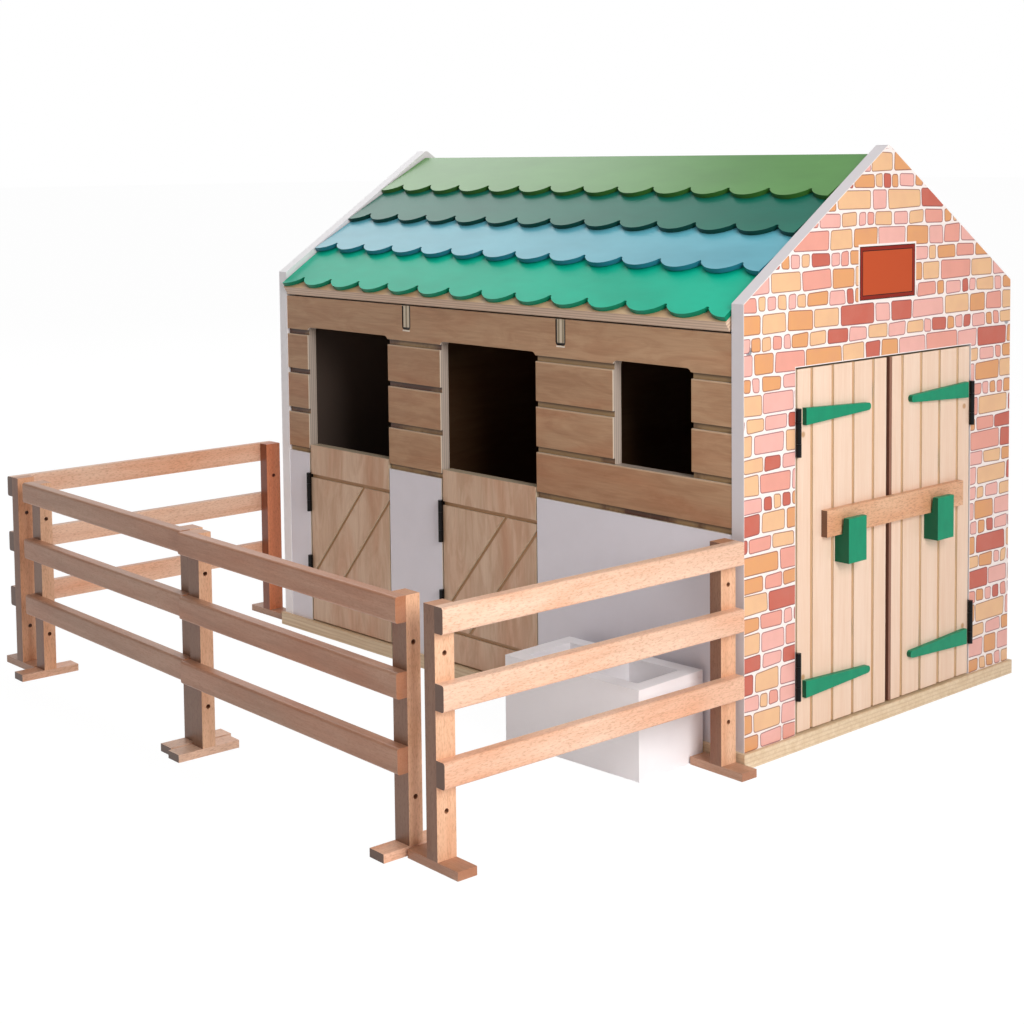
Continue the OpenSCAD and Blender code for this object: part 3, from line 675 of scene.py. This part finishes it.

# Straps and hooks
# Dummy strap hinges and two bar hooks, cut from wood and painted green. They are glued to the
# leaves, and shade is painted on their -y sides.
hook_paint, tree, shader = finish("green_hook_paint", roughness=0.42, specular=0.25)
place, _ = axes(tree, "Object")
_, way = axes(tree, "Normal")
mottle = cloud(tree, place, 0.008, (1.0, 1.0, 0.5), detail=4.0)
mottle = steps(tree, mottle, (0.35, 0.0), (0.75, 0.4))
colour = mix(tree, mottle, srgb("0a9068"), srgb("087052"))
# painted shade on the faces that look to -y
side = steps(tree, times(tree, way["Y"], -1.0), (0.3, 0.0), (0.9, 0.75))
colour = lay(tree, side, colour, "0b3a24")
brushed = cloud(tree, place, 0.0012, (1.0, 1.0, 0.3))
surface(tree, shader, colour, brushed, depth=0.0001, strength=0.6)
dress(["door_left_straps", "door_right_straps", "door_left_hook", "door_right_hook"], hook_paint)


# Locking bar
# A loose beech bar that drops into the two hooks. Beech has short brown flecks along the grain.
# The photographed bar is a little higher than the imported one, so its top is raised.
def beech(name, run, pale, deep, fleck="a0633c"):
    """Varnished beech with its flecks along one axis."""
    made, tree, shader = finish(name, roughness=0.4)
    place, at = axes(tree, "Object")
    _, way = axes(tree, "Normal")
    front = times(tree, way["Y"], -1.0)
    flowing = [max(s, 0.25) for s in along[run]]
    colour, fine = grain(tree, place, run, pale, deep, bands=0.012, fibres=0.0012, strength=0.7)
    blush = steps(tree, cloud(tree, place, 0.05, flowing), (0.45, 0.0), (0.7, 0.6))
    colour = stain(tree, blush, colour, "f2bf98")
    flecks = steps(tree, cloud(tree, place, 0.0009, flowing, detail=2.5), (0.5, 0.0), (0.66, 1.0))
    colour = lay(tree, times(tree, flecks, 0.36), colour, fleck)
    end = more(tree, off(tree, way[run]), 0.8)
    colour = lay(tree, times(tree, end, 0.55), colour, "a5653f")
    if run == "Y":
        # painted shade darkens the rails' sawn ends at the front
        sawn = steps(tree, front, (0.5, 0.0), (0.9, 0.85))
        colour = lay(tree, sawn, colour, "4c3022")
    if run == "Z":
        # the posts' front sides are darkened with painted shade, and the far-left post is tinted
        # redder
        side = steps(tree, front, (0.4, 0.0), (0.8, 0.8))
        colour = stain(tree, side, colour, "765c50")
        post_x, post_y = -0.33, -0.3
        far_left = times(tree, less(tree, at["X"], post_x), more(tree, at["Y"], post_y))
        colour = stain(tree, far_left, colour, "ffcab2")
    surface(tree, shader, colour, fine, strength=0.5)
    return made


raised_by = 0.0032
top_band = 0.004
bar_mesh = bpy.data.meshes.new("planed_bar")
planed = bmesh.new()
planed.from_mesh(board["locking_bar"].data)
bmesh.ops.remove_doubles(planed, verts=planed.verts[:], dist=0.00001)
highest_z = max(v.co.z for v in planed.verts)
upper = [v for v in planed.verts if v.co.z > highest_z - top_band]
bmesh.ops.translate(planed, verts=upper, vec=(0.0, 0.0, raised_by))
planed.to_mesh(bar_mesh)
planed.free()
bar = bpy.data.objects.new("planed_bar", bar_mesh)
bpy.context.scene.collection.objects.link(bar)
bar_mesh.materials.append(beech("beech_bar", "Y", "e8bc98", "d09b72", fleck="7d3f1e"))
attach(bar, "locking_bar")
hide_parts("locking_bar")

# Hinges and screws
# Small black steel butt hinges with three knuckles and a through pin, and zinc-plated
# cross-head screws sunk in the gables.
black, tree, shader = finish("black_steel", roughness=0.3, specular=0.22)
place, _ = axes(tree, "Object")
worn = steps(tree, cloud(tree, place, 0.003, detail=5.0), (0.55, 0.0), (0.8, 0.5))
tree.links.new(mix(tree, worn, srgb("030304"), srgb("151518")), shader.inputs["Base Color"])
dress(
    [
        "ridge_hinge_frames",
        "ridge_hinge_leaves",
        "double_door_frames",
        "door_left_hinges",
        "door_right_hinges",
        "stall_hinge_frames",
        "stall_door_left_hinges",
        "stall_door_right_hinges",
    ],
    black,
)
zinc, tree, shader = finish("zinc_screw", roughness=0.3)
shader.inputs["Metallic"].default_value = 1.0
place, _ = axes(tree, "Object")
worn = steps(tree, cloud(tree, place, 0.001, detail=4.0), (0.4, 0.0), (0.7, 1.0))
tree.links.new(mix(tree, worn, srgb("c9c9cc"), srgb("8f8f94")), shader.inputs["Base Color"])
dress(["gable_screws"], zinc)

# Stall doors
# Half-height doors of the same birch plywood as the wall, with a routed frame line above and
# below and two slanted lines between them.
door_birch, tree, shader = finish("birch_stall_door", satin)
place, at = axes(tree, "Object")
_, way = axes(tree, "Normal")
colour, fine = birch(tree, place, "Z", "e2c4a9", "cca788")
cut = more(tree, at["Y"], wall_face + 0.0005)
front = more(tree, times(tree, way["Y"], -1.0), sawn_below)
colour = lay(tree, times(tree, cut, front), colour, "b98f68")
colour = ply(tree, at, way, "Y", colour, 0.0022, "dccab0", "b8a184")
surface(tree, shader, colour, fine)
dress(["stall_door_left_panel", "stall_door_right_panel"], door_birch)

# Fence panels
# Solid beech: upright posts glued on flat feet, and three rails across the outer side of the
# posts. The grain runs along each piece.
upright = beech("beech_post", "Z", "ecbf9c", "d4a07c")
# one beech in three tones: darker for the pieces along x, as painted shade on the front rails,
# and lighter for those along y, as painted light on the side rails that face the lamp
rail_x = beech("beech_rail_x", "X", "c69a80", "a07357")
rail_y = beech("beech_rail_y", "Y", "f2ccb2", "dcae90")
for panel in ("left", "front_left", "front_right", "right"):
    dress(["fence_" + panel + "_posts"], upright)
    lies_y = panel in ("left", "right")
    dress(["fence_" + panel + "_rails"], rail_y if lies_y else rail_x)
    dress(["fence_" + panel + "_feet"], rail_x if lies_y else rail_y)

# Trough
# A white-painted block with two wells for the feed. It stands loose in the yard, between the
# stall wall and the right fence panel.
trough_paint, tree, shader = finish("white_trough", roughness=0.4)
place, _ = axes(tree, "Object")
mottle = steps(tree, cloud(tree, place, 0.03, detail=4.0), (0.35, 0.0), (0.7, 0.4))
colour = mix(tree, mottle, srgb("fbf8fa"), srgb("f2eef1"))
nibs = cloud(tree, place, 0.0014, detail=2.0)
surface(tree, shader, colour, nibs, depth=0.00008, strength=0.5)
dress(["trough"], trough_paint)
